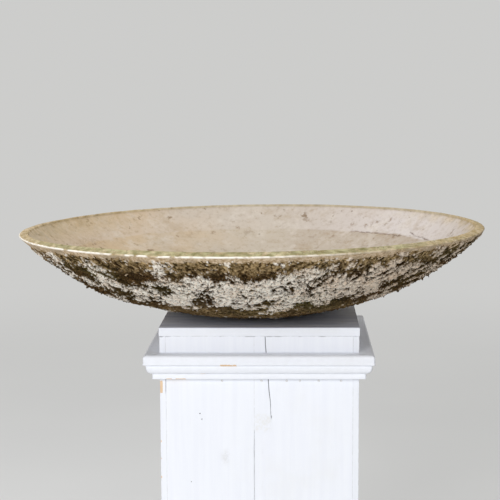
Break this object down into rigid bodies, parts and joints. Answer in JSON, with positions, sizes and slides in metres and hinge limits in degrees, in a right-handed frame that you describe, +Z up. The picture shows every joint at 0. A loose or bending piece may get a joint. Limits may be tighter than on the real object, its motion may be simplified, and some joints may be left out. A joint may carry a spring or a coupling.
{
  "type": "bird bath",
  "caption": "Wide shallow weathered fibre-cement dish resting loose on a square white-painted timber pedestal with a moulded cornice and a skirting.",
  "frame": {"origin": "on the floor, on the dish's own vertical axis", "axes": "+Z up; -Y the front of the pedestal, with its plank joint; +X to the right seen from the front"},
  "size_m": [1, 1, 1.0445],
  "materials": {
    "fibre_cement": "weathered, rough, with moss and lime crust outside",
    "white_paint": "white gloss paint gone dull, worn at the edges",
    "bare_pine": "sawn, unpainted",
    "nail_steel": "dull, partly painted over"
  },
  "bodies": {
    "pedestal": {"back_plank_left": "white_paint", "back_plank_right": "white_paint", "base_moulding_back": "white_paint", "base_moulding_front": "white_paint", "base_moulding_left": "white_paint", "base_moulding_right": "white_paint", "bed_moulding_back": "white_paint", "bed_moulding_front": "white_paint", "bed_moulding_left": "white_paint", "bed_moulding_right": "white_paint", "cornice_cap_back": "white_paint", "cornice_cap_front": "white_paint", "cornice_cap_left": "white_paint", "cornice_cap_right": "white_paint", "front_nail_1": "nail_steel", "front_nail_2": "nail_steel", "front_nail_3": "nail_steel", "front_nail_4": "nail_steel", "front_nail_5": "nail_steel", "front_nail_6": "nail_steel", "front_plank_left": "white_paint", "front_plank_right": "white_paint", "left_plank_back": "white_paint", "left_plank_front": "white_paint", "post_back_left": "bare_pine", "post_back_right": "bare_pine", "post_front_left": "bare_pine", "post_front_right": "bare_pine", "rail_back": "bare_pine", "rail_front": "bare_pine", "rail_left": "bare_pine", "rail_right": "bare_pine", "right_plank_back": "white_paint", "right_plank_front": "white_paint", "skirting_back": "white_paint", "skirting_front": "white_paint", "skirting_left": "white_paint", "skirting_right": "white_paint", "top_bearer_centre": "bare_pine", "top_bearer_left": "bare_pine", "top_bearer_right": "bare_pine", "top_nail_left_1": "nail_steel", "top_nail_left_2": "nail_steel", "top_nail_left_3": "nail_steel", "top_nail_right_1": "nail_steel", "top_nail_right_2": "nail_steel", "top_nail_right_3": "nail_steel", "top_plank_back": "white_paint", "top_plank_front": "white_paint", "top_plank_middle": "white_paint"},
    "dish": {"dish": "fibre_cement"}
  },
  "joints": [
    {"name": "dish_lift", "type": "slide", "parent": "pedestal", "child": "dish", "axis": [0, 0, 1], "range_m": [0, 0.3]}
  ]
}
